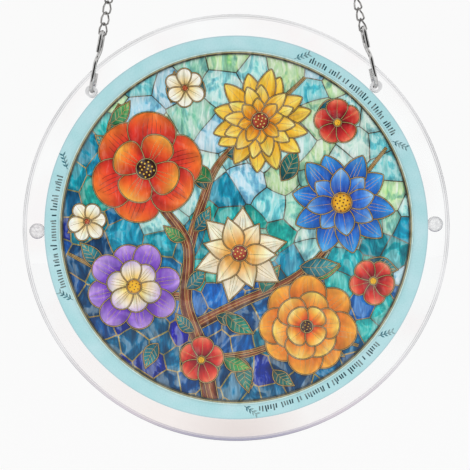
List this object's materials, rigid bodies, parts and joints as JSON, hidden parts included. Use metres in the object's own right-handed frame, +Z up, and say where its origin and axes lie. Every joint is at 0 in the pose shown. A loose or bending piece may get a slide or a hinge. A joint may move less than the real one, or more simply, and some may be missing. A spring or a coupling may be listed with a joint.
{
  "type": "suncatcher",
  "caption": "Round clear acrylic suncatcher with a printed stained-glass style panel, hung by curb chains and S-hooks from a small wire ring.",
  "frame": {"origin": "inner top of the hanging ring, where the nail or hook that carries the suncatcher bears", "axes": "+Z up along the pull of the chains, -Y out of the printed front, +X to the right as seen from the front"},
  "size_m": [0.15, 0.0082, 0.3761],
  "materials": {
    "clear_acrylic": "clear, polished edge",
    "printed_film": "glossy print",
    "clear_silicone": "clear, soft gloss",
    "plated_steel": "bright plated wire"
  },
  "bodies": {
    "root": {"acrylic_disc": "clear_acrylic", "printed_panel": "printed_film", "left_bumper": "clear_silicone", "right_bumper": "clear_silicone", "left_s_hook": "plated_steel", "right_s_hook": "plated_steel", "left_chain": "plated_steel", "right_chain": "plated_steel", "hanging_ring": "plated_steel"}
  },
  "joints": []
}
